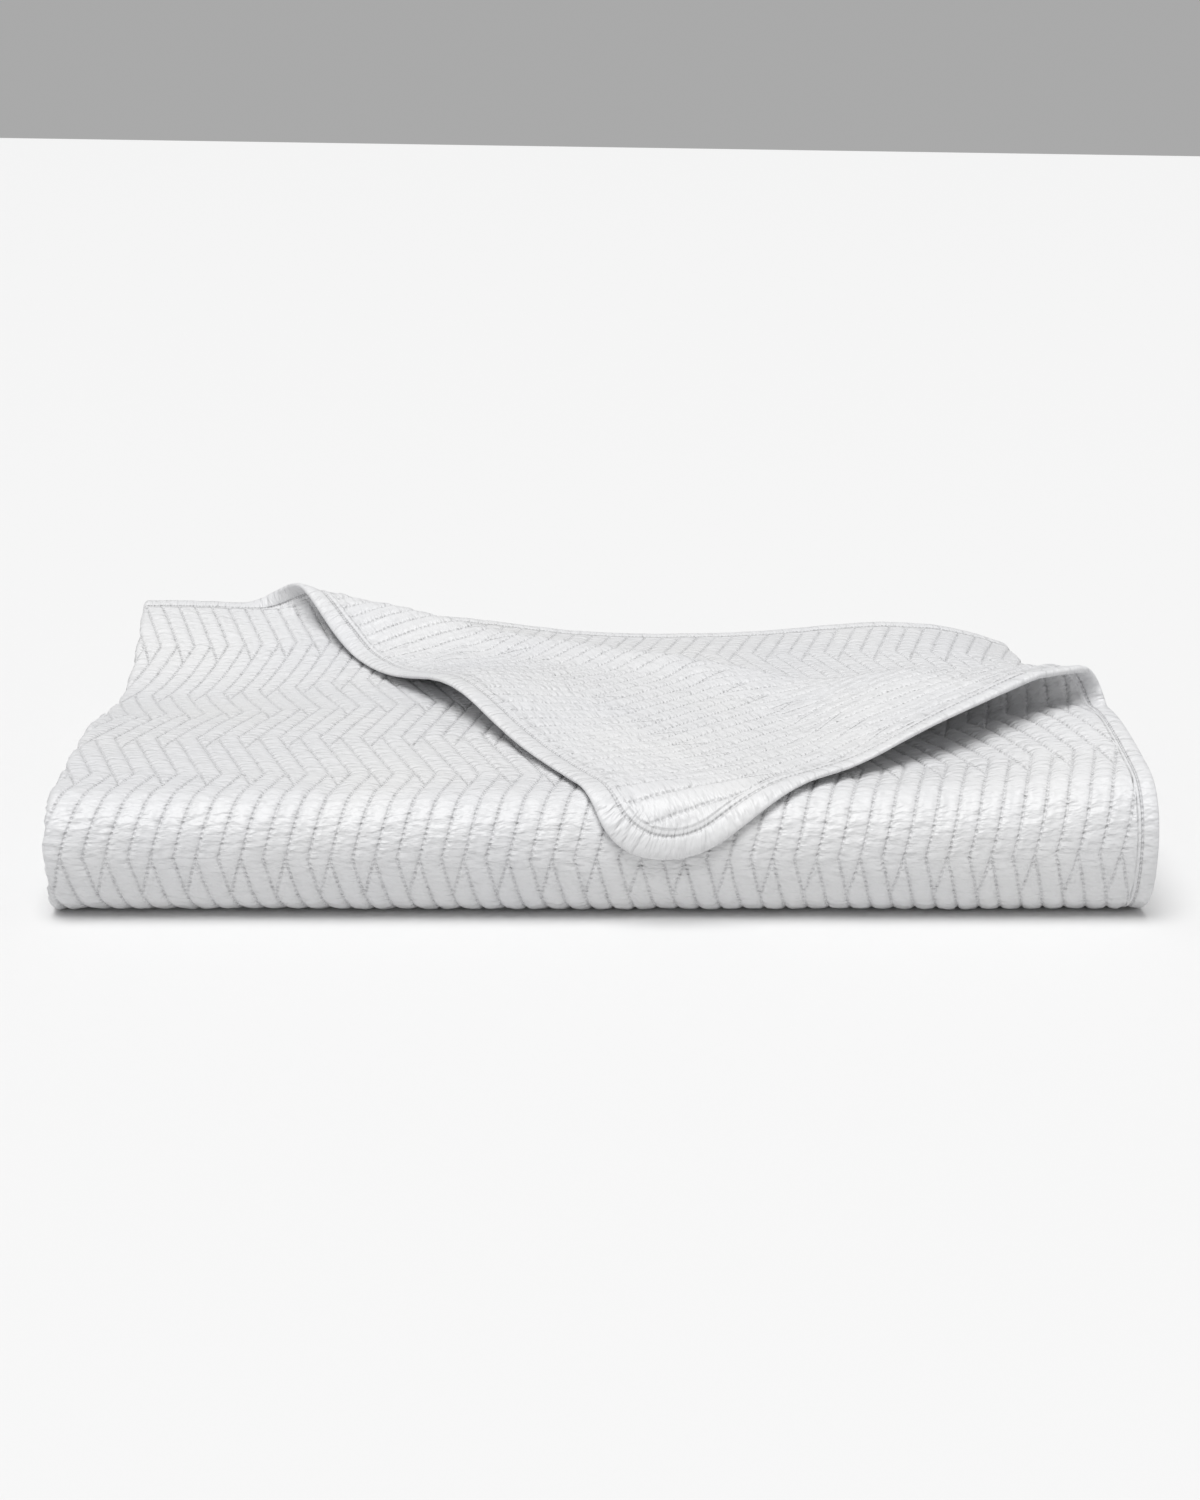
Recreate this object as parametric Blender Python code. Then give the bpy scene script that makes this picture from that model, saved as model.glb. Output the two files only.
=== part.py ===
"""Quilted coverlet, folded into a wide stack with one corner turned back over the top.

The flat cloth has coordinates u (from its right side hem) and v (from its end hem).
Three plies are folded across the width, then five layers back and forth in depth.
Metres, +Z up and the floor at z = 0. The lengths below are measured from the
front of the stack at y = 0; the finished cloth is centred on the origin.
"""
import math

import bpy
import numpy as np
from mathutils import Vector
from mathutils.geometry import delaunay_2d_cdt

# Sheet
PLY = 0.0058
HALF = 0.0022
HEM_HALF = 0.0018
STITCH_HALF = 0.0011
SEAM_HALF = 0.0010
CREST_HALF = 0.0026
RIM_ROUND = 0.002
HEM_WIDTH = 0.012
HEM_END = 0.0165
CORNER_RADIUS = 0.054

# Stack
X_RIGHT = 0.386
X_LEFT_FOLD = -0.3815
X_RIGHT_FOLD = 0.372
X_INNER_HEM = -0.376
Y_END = 0.485
Y_BACK_FOLD = 0.4553
Y_FRONT_FOLD = 0.0355
Y_INNER_END = 0.052
Y_TANGENT = 0.040
FRONT_DEPTH = 0.032
FRONT_POWER = 2.35
BAND = 3.0 * PLY
UNDER = 0.5 * BAND - PLY - HALF
DROOP = 0.030

# Quilting: channels slanting one way and the other in bands along the width
CHANNEL = 0.015
QUILT_BAND = 0.088
QUILT_SLOPE = 0.315
FIRST_BAND = 0.455

# Corner turned back over the line from P on the end hem to Q on the side hem
TURN_X = -0.036
TURN_Y = 0.045
P_LINE = (-0.255, -0.004)
Q_LINE = (0.389, 0.325)
LIE = PLY + 0.0012
# along the fold line: share of its length, loop radius, length of the slope down
LOOP = (
    (0.00, 0.0132, 0.060),
    (0.12, 0.0103, 0.062),
    (0.30, 0.0080, 0.045),
    (0.50, 0.0075, 0.040),
    (0.65, 0.0056, 0.070),
    (0.80, 0.0175, 0.148),
    (1.00, 0.0110, 0.340),
)
FLAP_REACH = 1.09
FLAP_DRIFT = -0.14
# where the turned corner stands off: u, v, spread along each, height
LIFT = (
    (0.30, 0.00, 0.09, 0.07, 0.017),
    (0.00, 0.20, 0.06, 0.09, 0.007),
)

# Uneven filling of the stack: x, y, width, depth, share added to the height
SWELL = (
    (-0.39, 0.50, 0.20, 0.10, 0.258),
    (-0.36, 0.33, 0.20, 0.10, -0.230),
    (0.00, 0.50, 0.16, 0.12, -0.055),
    (0.27, 0.50, 0.09, 0.10, 0.127),
    (0.40, 0.50, 0.05, 0.12, -0.191),
    (0.40, 0.09, 0.12, 0.10, 0.250),
    (0.36, 0.15, 0.09, 0.06, 0.180),
    (0.22, 0.06, 0.10, 0.06, 0.048),
    (0.34, 0.25, 0.09, 0.06, 0.100),
    (0.02, 0.30, 0.22, 0.14, 0.077),
    (-0.12, 0.48, 0.10, 0.10, 0.145),
)
LEFT_LOBE = 0.002
LEFT_TAPER = 0.002
LEFT_WAIST = 0.008

CLOTH = (0.86, 0.87, 0.88)


def section_path():
    """Centre line of the three plies from the top layer's end to the innermost end."""
    z = [BAND * (k + 0.5) for k in range(5)]
    pts = [(Y_END, z[4]), (Y_TANGENT, z[4])]
    mid = 0.5 * (z[0] + z[4])
    rise = 0.5 * (z[4] - z[0])
    for k in range(1, 96):
        a = math.pi * k / 96.0
        c = math.cos(a)
        s = math.sin(a)
        y = Y_TANGENT - FRONT_DEPTH * abs(s) ** (2.0 / FRONT_POWER)
        zz = mid + rise * math.copysign(abs(c) ** (2.0 / FRONT_POWER), c)
        pts.append((y, zz))
    pts.append((Y_TANGENT, z[0]))

    def turn(yc, low, side):
        centre = low + 0.5 * BAND
        pts.append((yc, low))
        for k in range(1, 24):
            a = math.pi * k / 24.0
            pts.append((yc + side * 0.5 * BAND * math.sin(a), centre - 0.5 * BAND * math.cos(a)))
        pts.append((yc, low + BAND))

    turn(Y_BACK_FOLD, z[0], 1.0)
    turn(Y_FRONT_FOLD, z[1], -1.0)
    turn(Y_BACK_FOLD, z[2], 1.0)
    pts.append((Y_INNER_END, z[3]))
    return np.array(pts)


def resample(pts, step):
    length = np.r_[0.0, np.cumsum(np.hypot(*np.diff(pts, axis=0).T))]
    s = np.linspace(0.0, length[-1], int(length[-1] / step) + 1)
    return s, np.c_[np.interp(s, length, pts[:, 0]), np.interp(s, length, pts[:, 1])]


PATH_S, PATH = resample(section_path(), 0.0005)
TANGENT = np.gradient(PATH, PATH_S, axis=0)
TANGENT /= np.linalg.norm(TANGENT, axis=1)[:, None]
LENGTH = PATH_S[-1]
FRONT_START = Y_END - Y_TANGENT
FRONT_END = float(PATH_S[np.argmin(np.abs(PATH - (Y_TANGENT, 0.5 * BAND)).sum(axis=1))])

PLY_ONE = X_RIGHT - X_LEFT_FOLD
FOLD_ARC = math.pi * 0.5 * PLY
PLY_TWO = X_RIGHT_FOLD - X_LEFT_FOLD
PLY_THREE = X_RIGHT_FOLD - X_INNER_HEM
WIDTH = PLY_ONE + PLY_TWO + PLY_THREE + 2.0 * FOLD_ARC


def section(s, w):
    """Point (y, z) at path length s, a distance w outside the centre line."""
    sc = np.clip(s, 0.0, LENGTH)
    y = np.interp(sc, PATH_S, PATH[:, 0])
    z = np.interp(sc, PATH_S, PATH[:, 1])
    ty = np.interp(sc, PATH_S, TANGENT[:, 0])
    tz = np.interp(sc, PATH_S, TANGENT[:, 1])
    norm = np.hypot(ty, tz)
    over = np.clip(-s, 0.0, None)
    angle = np.minimum(over / DROOP, 0.5 * math.pi)
    rest = over - angle * DROOP
    y = y + DROOP * np.sin(angle)
    z = z - DROOP * (1.0 - np.cos(angle)) - rest
    ny = np.where(over > 0.0, np.sin(angle), tz / norm)
    nz = np.where(over > 0.0, np.cos(angle), -ty / norm)
    return y + w * ny, z + w * nz


def across(u):
    """Width position x, ply offset w and the cloth's outer normal in that plane."""
    a = PLY_ONE
    b = a + FOLD_ARC
    c = b + PLY_TWO
    d = c + FOLD_ARC
    left = np.clip((u - a) / FOLD_ARC, 0.0, 1.0) * math.pi
    right = np.clip((u - c) / FOLD_ARC, 0.0, 1.0) * math.pi
    r = 0.5 * PLY
    x = X_RIGHT - np.minimum(u, a) + np.clip(u - b, 0.0, PLY_TWO) - np.maximum(u - d, 0.0)
    x = x - r * np.sin(left) + r * np.sin(right)
    w = PLY - r * (1.0 - np.cos(left)) - r * (1.0 - np.cos(right))
    turn = left - right
    return x, w, -np.sin(left) - np.sin(right), np.cos(turn)


def loop_table(share):
    t = np.array(LOOP)
    k = np.clip(share, 0.0, 1.0)
    i = np.clip(np.searchsorted(t[:, 0], k, side="right") - 1, 0, len(t) - 2)
    f = (k - t[i, 0]) / (t[i + 1, 0] - t[i, 0])
    f = f * f * (3.0 - 2.0 * f)
    radius = t[i, 1] + f * (t[i + 1, 1] - t[i, 1])
    slope = t[i, 2] + f * (t[i + 1, 2] - t[i, 2])
    drop = np.maximum(2.0 * radius - LIE, 0.0)
    extra = 0.617 * drop * drop / slope
    start = -0.5 * (math.pi * radius + extra)
    return radius, slope, drop, extra, start


FOLD_VEC = np.array(Q_LINE) - np.array(P_LINE)
FOLD_LEN = float(np.hypot(*FOLD_VEC))
EX, ES = FOLD_VEC / FOLD_LEN
NX, NS = ES, -EX


def warped(u, v):
    """Where a point of the outer ply lies before the corner is turned."""
    x = X_RIGHT - u
    back = np.clip((FRONT_START - v) / FRONT_START, 0.0, 1.0) ** 1.4
    side = np.clip((x - X_LEFT_FOLD) / (X_RIGHT - X_LEFT_FOLD), 0.0, 1.0)
    return x + TURN_X * back * side, v - TURN_Y * back * side


def fold_coordinates(u, v):
    x, s = warped(u, v)
    dx = x - P_LINE[0]
    ds = s - P_LINE[1]
    return dx * EX + ds * ES, dx * NX + ds * NS


def swell(x, y, z):
    """Smooth uneven filling; the underside stays flat on the floor."""
    gain = np.ones_like(x)
    for cx, cy, wx, wy, amount in SWELL:
        gain = gain + amount * np.exp(-((x - cx) / wx) ** 2 - ((y - cy) / wy) ** 2)
    lobe = np.exp(-((z - 0.058) / 0.016) ** 2) * np.clip(-x / 0.39, 0.0, 1.0) ** 6
    back = np.clip(y / 0.5, 0.0, 1.2)
    left = LEFT_TAPER * back * np.clip(-x / 0.39, 0.0, 1.0) ** 3
    waist = LEFT_WAIST * np.exp(-((y - 0.38) / 0.13) ** 2) * np.clip(-x / 0.39, 0.0, 1.0) ** 3
    return x + left + waist - LEFT_LOBE * lobe, y, (z - UNDER) * gain


def lay(u, v, t):
    """Folded position of the flat point (u, v), t outside the cloth's mid surface."""
    u = np.asarray(u, float)
    v = np.asarray(v, float)
    t = np.asarray(t, float)
    x, w, mx, mw = across(u)
    s = v.copy()
    outer = u < PLY_ONE
    xw, sw = warped(u, v)
    along, q = fold_coordinates(u, v)
    radius, slope, drop, extra, start = loop_table(along / FOLD_LEN)
    angle = np.clip((q - start) / radius, 0.0, math.pi)
    past = np.clip(q - start - math.pi * radius, 0.0, None)
    run = np.where(past < slope + extra, past * slope / (slope + extra), past - extra)
    k = np.clip(run / slope, 0.0, 1.0)
    up = radius * (1.0 - np.cos(angle)) - drop * 0.5 * (1.0 - np.cos(math.pi * k))
    up = np.where(past > 0.0, 2.0 * radius - drop * 0.5 * (1.0 - np.cos(math.pi * k)), up)
    out = np.where(angle > 0.0, start + radius * np.sin(angle) - FLAP_REACH * run, q)
    tilt = np.where(past > 0.0, -drop * 0.5 * math.pi * np.sin(math.pi * k) / slope, 0.0)
    tn = np.where(past > 0.0, -1.0, np.cos(angle))
    tw = np.where(past > 0.0, tilt, np.sin(angle))
    size = np.hypot(tn, tw)
    nn = -tw / size
    nw = tn / size
    pos_n = out - q + t * nn
    drift = FLAP_DRIFT * run
    x1 = xw + pos_n * NX + drift * EX
    s1 = sw + pos_n * NS + drift * ES
    lift = sum(h * np.exp(-((u - cu) / wu) ** 2 - ((v - cv) / wv) ** 2) for cu, cv, wu, wv, h in LIFT)
    w1 = PLY + up + t * nw + lift * np.clip(past / 0.03, 0.0, 1.0) ** 2
    x = np.where(outer, x1, x + t * mx)
    s = np.where(outer, s1, s)
    w = np.where(outer, w1, w + t * mw)
    y, z = section(s, w)
    return swell(x, y, z)


def quilt_shift(v):
    k = np.mod(v - FIRST_BAND + QUILT_BAND, 2.0 * QUILT_BAND) - QUILT_BAND
    return QUILT_SLOPE * np.abs(k)


def row_stations():
    """Rows of the mesh along v, close together only where the cloth bends."""
    rows = [HEM_END, HEM_END + 0.005]
    k = FIRST_BAND
    while k > 0.05:
        rows.append(k)
        k -= 0.5 * QUILT_BAND
    rows.append(FRONT_START - 0.002)
    n = 10
    for k in range(1, n + 1):
        rows.append(FRONT_START + (FRONT_END - FRONT_START) * k / n)
    marks = [FRONT_END]
    arc = math.pi * 0.5 * BAND
    runs = (Y_BACK_FOLD - Y_TANGENT, Y_BACK_FOLD - Y_FRONT_FOLD, Y_BACK_FOLD - Y_FRONT_FOLD)
    for run in runs:
        s = marks[-1]
        rows.extend((s + run * 0.33, s + run * 0.67))
        for k in range(7):
            rows.append(s + run + arc * k / 6.0)
        marks.append(s + run + arc)
    last = LENGTH - marks[-1]
    rows.extend((marks[-1] + last * 0.33, marks[-1] + last * 0.67, LENGTH - HEM_END))
    rows = sorted(rows)
    keep = [rows[0]]
    for r in rows[1:]:
        if r - keep[-1] > 0.0025:
            keep.append(r)
    return keep


def column_stations():
    """Columns of the mesh along u: the two folds and a few between them."""
    cols = []
    for start in (PLY_ONE, PLY_ONE + FOLD_ARC + PLY_TWO):
        cols.extend(start + FOLD_ARC * k / 4.0 for k in range(5))
    cols.extend(PLY_ONE * k for k in (0.25, 0.5, 0.75))
    base = PLY_ONE + FOLD_ARC
    cols.extend(base + PLY_TWO * k for k in (0.2, 0.4, 0.6, 0.8))
    base = PLY_ONE + 2.0 * FOLD_ARC + PLY_TWO
    cols.extend(base + PLY_THREE * k for k in (0.25, 0.5, 0.75))
    return sorted(cols)


STRANDS = tuple(k / 7.0 for k in range(8))


def loop_share(u, v):
    along, q = fold_coordinates(u, v)
    radius, slope, drop, extra, start = loop_table(along / FOLD_LEN)
    return (q - start) / (math.pi * radius)


def strand_on_row(v, share, lo=0.0, hi=None):
    """u at which a line along the loop crosses the row v, or None."""
    us = np.linspace(lo, PLY_ONE if hi is None else hi, 900)
    g = loop_share(us, np.full_like(us, v)) - share
    hit = np.nonzero((g[:-1] > 0.0) & (g[1:] <= 0.0))[0]
    if len(hit) == 0:
        return None
    i = hit[0]
    return float(us[i] + (us[i + 1] - us[i]) * g[i] / (g[i] - g[i + 1]))


def strand_on_column(u, share):
    vs = np.linspace(0.0, FRONT_START, 900)
    g = loop_share(np.full_like(vs, u), vs) - share
    hit = np.nonzero((g[:-1] > 0.0) & (g[1:] <= 0.0))[0]
    if len(hit) == 0:
        return None
    i = hit[0]
    return float(vs[i] + (vs[i + 1] - vs[i]) * g[i] / (g[i] - g[i + 1]))


def hem_ring(inset, rows, cols):
    """One line round the cloth at a distance inside its edge."""
    r = CORNER_RADIUS
    ring = []
    tops = [("c", c) for c in cols if r < c < WIDTH - r]
    tops += [("c", r + (0.014 + 0.0125 * k) * k) for k in range(1, 6)]
    tops += [("c", c) for c in np.arange(0.40, 0.60, 0.05)]
    tops += [("s", k) for k in STRANDS]
    spots = []
    for kind, value in tops:
        here = value if kind == "c" else strand_on_row(inset, value)
        spots.append((here, kind))
    band = [s for s, kind in spots if kind == "s"]
    lo, hi = min(band) - 0.012, max(band) + 0.012
    spots = [s for s, kind in spots if kind == "s" or not lo < s < hi]
    ring.extend((s, inset) for s in sorted(spots))
    corner = [math.pi * 0.5 * k / 6.0 for k in range(7)]
    ring.extend((WIDTH - r + (r - inset) * math.sin(a), r - (r - inset) * math.cos(a)) for a in corner)
    ring.extend((WIDTH - inset, v) for v in rows if r + 0.004 < v < LENGTH - r - 0.004)
    ring.extend((WIDTH - r + (r - inset) * math.cos(a), LENGTH - r + (r - inset) * math.sin(a)) for a in corner)
    ring.extend((c, LENGTH - inset) for c in sorted(cols, reverse=True) if r < c < WIDTH - r)
    ring.extend((r - (r - inset) * math.sin(a), LENGTH - r + (r - inset) * math.cos(a)) for a in corner)
    side = [strand_on_column(inset, k) for k in STRANDS]
    lo, hi = min(side) - 0.012, max(side) + 0.012
    spots = [v for v in rows if r + 0.004 < v < LENGTH - r - 0.004 and not lo < v < hi] + side
    ring.extend((inset, v) for v in sorted(spots, reverse=True))
    ring.extend((r - (r - inset) * math.cos(a), r - (r - inset) * math.sin(a)) for a in corner)
    return ring


def covered(u, v):
    """True where the turned corner lies over the outer ply."""
    along, q = fold_coordinates(u, v)
    x = P_LINE[0] + along * EX - q * NX
    s = P_LINE[1] + along * ES - q * NS
    return (q < 0.0) & (x < X_RIGHT - 0.03) & (s > 0.02)


def fine_outer(u, v):
    """Visible quilted part of the outer face."""
    share = loop_share(u, v)
    inside = (u > HEM_END + 0.004) & (u < PLY_ONE - 0.003)
    inside &= (v > HEM_END + 0.004) & (v < FRONT_END - 0.008)
    return inside & (share < -0.12) & ~covered(u, v)


def fine_inner(u, v):
    """Visible quilted part of the reverse: the turned corner and the bared ply."""
    share = loop_share(u, v)
    r = CORNER_RADIUS
    off = np.hypot(np.maximum(r - u, 0.0), np.maximum(r - v, 0.0))
    flap = (u > HEM_END + 0.004) & (v > HEM_END + 0.004) & (off < r - HEM_END - 0.004)
    flap &= (u < PLY_ONE) & (share > 1.12)
    mirror = 2.0 * PLY_ONE + FOLD_ARC - u
    x = X_RIGHT - mirror
    along = (x - P_LINE[0]) * EX + (v - P_LINE[1]) * ES
    q = (x - P_LINE[0]) * NX + (v - P_LINE[1]) * NS
    bare = (u > PLY_ONE + FOLD_ARC) & (u < PLY_ONE + FOLD_ARC + PLY_TWO - 0.004)
    bare &= (q > -0.012) & (v > HEM_END + 0.004) & (along > -0.02)
    return flap | bare


def triangulate(rings, rows, cols, fine):
    """Flat triangulation of one face; returns points, half thickness and triangles."""
    pts = []
    half = []
    edges = []
    sizes = (0.0, HEM_HALF, STITCH_HALF, HALF)
    count = len(rings[0])
    for ring, size in zip(rings, sizes):
        base = len(pts)
        pts.extend(ring)
        half.extend([size] * count)
        edges.extend((base + k, base + (k + 1) % count) for k in range(count))
        if base:
            edges.extend((base - count + k, base + k) for k in range(count))
    inner = {(round(p[0], 6), round(p[1], 6)): 3 * count + k for k, p in enumerate(rings[3])}
    previous = {}
    r = CORNER_RADIUS + 0.004
    for v in rows:
        if v < HEM_END + 0.001 or v > LENGTH - HEM_END - 0.001:
            continue
        line = []
        in_corner = v < r or v > LENGTH - r
        for k in STRANDS:
            u = strand_on_row(v, k)
            if u is not None and u > HEM_END + 0.003:
                line.append((u, HALF, ("s", k)))
        strands = [p[0] for p in line]
        lo = min(strands) - 0.003 if strands else 9.0
        hi = max(strands) + 0.003 if strands else -9.0
        n = int(WIDTH / (0.5 * CHANNEL)) + 8
        index = np.arange(-8, n)
        us = index * 0.5 * CHANNEL + quilt_shift(v)
        ok = fine(us, np.full_like(us, v)) & ((us < lo) | (us > hi))
        for i in np.nonzero(ok)[0]:
            size = SEAM_HALF if index[i] % 2 == 0 else CREST_HALF
            line.append((float(us[i]), size, ("q", int(index[i]))))
        taken = np.array([p[0] for p in line]) if line else np.array([9.0])
        for j, u in enumerate(cols):
            fold = any(abs(u - a) < FOLD_ARC + 1e-6 for a in (PLY_ONE, PLY_ONE + FOLD_ARC + PLY_TWO))
            near = np.min(np.abs(taken - u))
            if near > 0.02 or (fold and near > 0.0012):
                if not (in_corner and (u < r or u > WIDTH - r)):
                    line.append((u, HALF, ("c", j)))
        line.sort()
        ids = []
        current = {}
        for u, size, name in line:
            current[name] = len(pts)
            ids.append(len(pts))
            pts.append((u, v))
            half.append(size)
        for name, k in current.items():
            if name in previous:
                edges.append((previous[name], k))
        first = inner.get((round(HEM_END, 6), round(v, 6)))
        last = inner.get((round(WIDTH - HEM_END, 6), round(v, 6)))
        if first is not None:
            ids.insert(0, first)
        if last is not None:
            ids.append(last)
        edges.extend(zip(ids[:-1], ids[1:]))
        previous = current
    out = delaunay_2d_cdt([Vector(p) for p in pts], edges, [list(range(count))], 1, 1e-6)
    flat = np.array([tuple(p) for p in out[0]])
    size = np.array([half[o[0]] if o else HALF for o in out[3]])
    rim = {o: k for k, names in enumerate(out[3]) for o in names if o < count}
    return flat, size, [tuple(f) for f in out[2]], [rim[k] for k in range(count)]


def build_cloth():
    rows = row_stations()
    cols = column_stations()
    rings = [hem_ring(d, rows, cols) for d in (0.0, RIM_ROUND, HEM_WIDTH, HEM_END)]
    outer = triangulate(rings, rows, cols, fine_outer)
    inner = triangulate(rings, rows, cols, fine_inner)
    top = np.array(lay(outer[0][:, 0], outer[0][:, 1], outer[1])).T
    low = np.array(lay(inner[0][:, 0], inner[0][:, 1], -inner[1])).T
    shared = dict(zip(inner[3], outer[3]))
    number = {}
    verts = [tuple(p) for p in top]
    for k, p in enumerate(low):
        if k in shared:
            number[k] = shared[k]
        else:
            number[k] = len(verts)
            verts.append(tuple(p))
    middle = 0.5 * (np.min(verts, axis=0) + np.max(verts, axis=0))
    verts = [(x - middle[0], y - middle[1], z) for x, y, z in verts]
    faces = list(outer[2])
    faces += [tuple(number[k] for k in reversed(f)) for f in inner[2]]
    return verts, faces


def material(name, colour, roughness):
    mat = bpy.data.materials.new(name)
    mat.use_nodes = True
    shader = mat.node_tree.nodes["Principled BSDF"]
    shader.inputs["Base Color"].default_value = (*colour, 1.0)
    shader.inputs["Roughness"].default_value = roughness
    return mat


def main():
    for ob in list(bpy.data.objects):
        bpy.data.objects.remove(ob, do_unlink=True)
    group = bpy.data.collections.new("coverlet")
    bpy.context.scene.collection.children.link(group)
    verts, faces = build_cloth()
    mesh = bpy.data.meshes.new("coverlet")
    mesh.from_pydata(verts, [], faces)
    mesh.validate()
    mesh.update()
    cloth = bpy.data.objects.new("coverlet", mesh)
    cloth.data.materials.append(material("white quilted cotton", CLOTH, 0.55))
    group.objects.link(cloth)


main()
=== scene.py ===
"""White quilted coverlet, folded into a wide stack with one corner turned back."""
import math

import bpy
import numpy as np
from mathutils import Matrix, Vector
from mathutils.geometry import delaunay_2d_cdt


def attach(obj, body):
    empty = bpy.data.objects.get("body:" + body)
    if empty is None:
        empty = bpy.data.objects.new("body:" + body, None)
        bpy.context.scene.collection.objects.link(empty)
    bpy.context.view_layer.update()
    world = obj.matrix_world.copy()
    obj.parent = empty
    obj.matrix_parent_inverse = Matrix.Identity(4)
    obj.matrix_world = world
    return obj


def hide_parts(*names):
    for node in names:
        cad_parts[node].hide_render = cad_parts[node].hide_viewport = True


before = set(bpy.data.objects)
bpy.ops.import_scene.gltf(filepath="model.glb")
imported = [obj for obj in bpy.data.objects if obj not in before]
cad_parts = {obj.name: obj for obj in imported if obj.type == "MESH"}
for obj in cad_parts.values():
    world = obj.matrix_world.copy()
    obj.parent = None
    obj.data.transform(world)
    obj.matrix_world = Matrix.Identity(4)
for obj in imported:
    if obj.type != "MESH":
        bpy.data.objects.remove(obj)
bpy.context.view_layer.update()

# Sheet
PLY = 0.0058
HALF = 0.0022
CREST_HALF = 0.0027
HEM_WIDTH = 0.012
HEM_END = 0.0165
CORNER_RADIUS = 0.054

# Stack
X_RIGHT = 0.386
X_LEFT_FOLD = -0.3815
X_RIGHT_FOLD = 0.372
X_INNER_HEM = -0.376
Y_END = 0.485
Y_BACK_FOLD = 0.4553
Y_FRONT_FOLD = 0.0355
Y_INNER_END = 0.052
Y_TANGENT = 0.040
FRONT_DEPTH = 0.032
FRONT_POWER = 2.35
BAND = 3.0 * PLY
UNDER = 0.5 * BAND - PLY - HALF
DROOP = 0.030

# Quilting: channels slanting one way and the other in bands along the width
CHANNEL = 0.0153
QUILT_BAND = 0.0836
QUILT_SLOPE = 0.315
FIRST_BAND = 0.411

# Corner turned back over the line from P on the end hem to Q on the side hem
TURN_X = -0.036
TURN_Y = 0.045
P_LINE = (-0.255, -0.004)
Q_LINE = (0.389, 0.325)
LIE = PLY + 0.0012
# along the fold line: share of its length, loop radius, length of the slope down
LOOP = (
    (0.00, 0.0132, 0.060),
    (0.12, 0.0103, 0.062),
    (0.30, 0.0080, 0.045),
    (0.50, 0.0075, 0.040),
    (0.65, 0.0056, 0.070),
    (0.80, 0.0175, 0.148),
    (1.00, 0.0110, 0.340),
)
FLAP_REACH = 1.09
FLAP_DRIFT = -0.14
# where the turned corner stands off: u, v, spread along each, height
LIFT = (
    (0.30, 0.00, 0.09, 0.07, 0.017),
    (0.00, 0.20, 0.06, 0.09, 0.007),
)

# Uneven filling of the stack: x, y, width, depth, share added to the height
SWELL = (
    (-0.39, 0.50, 0.20, 0.10, 0.258),
    (-0.36, 0.33, 0.20, 0.10, -0.230),
    (0.00, 0.50, 0.16, 0.12, -0.055),
    (0.27, 0.50, 0.09, 0.10, 0.127),
    (0.40, 0.50, 0.05, 0.12, -0.191),
    (0.40, 0.09, 0.12, 0.10, 0.250),
    (0.36, 0.15, 0.09, 0.06, 0.180),
    (0.22, 0.06, 0.10, 0.06, 0.048),
    (0.34, 0.25, 0.09, 0.06, 0.100),
    (0.02, 0.30, 0.22, 0.14, 0.077),
    (-0.12, 0.48, 0.10, 0.10, 0.145),
)
LEFT_LOBE = 0.002
LEFT_TAPER = 0.002
LEFT_WAIST = 0.008

# Half thickness under a stitch, and the middle of the stack, which is the origin
STITCH_LOW = 0.0008
MIDDLE = (-0.00120, 0.24257)

# Camera: focal length in pixels of a picture PICTURE_HIGH tall
PICTURE_HIGH = 1500.0
SENSOR = 36.0
FOCAL_PX = 2427.0
CAM_PITCH = math.radians(18.11)
CAM_YAW = math.radians(-2.86)
CAM_ROLL = math.radians(1.09)
CAM_PLACE = (-0.085, -1.570, 0.642)


def section_path():
    """Centre line of the three plies from the top layer's end to the innermost end."""
    z = [BAND * (k + 0.5) for k in range(5)]
    pts = [(Y_END, z[4]), (Y_TANGENT, z[4])]
    mid = 0.5 * (z[0] + z[4])
    rise = 0.5 * (z[4] - z[0])
    for k in range(1, 96):
        a = math.pi * k / 96.0
        c = math.cos(a)
        s = math.sin(a)
        y = Y_TANGENT - FRONT_DEPTH * abs(s) ** (2.0 / FRONT_POWER)
        zz = mid + rise * math.copysign(abs(c) ** (2.0 / FRONT_POWER), c)
        pts.append((y, zz))
    pts.append((Y_TANGENT, z[0]))

    def turn(yc, low, side):
        centre = low + 0.5 * BAND
        pts.append((yc, low))
        for k in range(1, 24):
            a = math.pi * k / 24.0
            pts.append((yc + side * 0.5 * BAND * math.sin(a), centre - 0.5 * BAND * math.cos(a)))
        pts.append((yc, low + BAND))

    turn(Y_BACK_FOLD, z[0], 1.0)
    turn(Y_FRONT_FOLD, z[1], -1.0)
    turn(Y_BACK_FOLD, z[2], 1.0)
    pts.append((Y_INNER_END, z[3]))
    return np.array(pts)


def resample(pts, step):
    length = np.r_[0.0, np.cumsum(np.hypot(*np.diff(pts, axis=0).T))]
    s = np.linspace(0.0, length[-1], int(length[-1] / step) + 1)
    return s, np.c_[np.interp(s, length, pts[:, 0]), np.interp(s, length, pts[:, 1])]


PATH_S, PATH = resample(section_path(), 0.0005)
TANGENT = np.gradient(PATH, PATH_S, axis=0)
TANGENT /= np.linalg.norm(TANGENT, axis=1)[:, None]
LENGTH = PATH_S[-1]
FRONT_START = Y_END - Y_TANGENT
FRONT_END = float(PATH_S[np.argmin(np.abs(PATH - (Y_TANGENT, 0.5 * BAND)).sum(axis=1))])

PLY_ONE = X_RIGHT - X_LEFT_FOLD
FOLD_ARC = math.pi * 0.5 * PLY
PLY_TWO = X_RIGHT_FOLD - X_LEFT_FOLD
PLY_THREE = X_RIGHT_FOLD - X_INNER_HEM
WIDTH = PLY_ONE + PLY_TWO + PLY_THREE + 2.0 * FOLD_ARC


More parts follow.
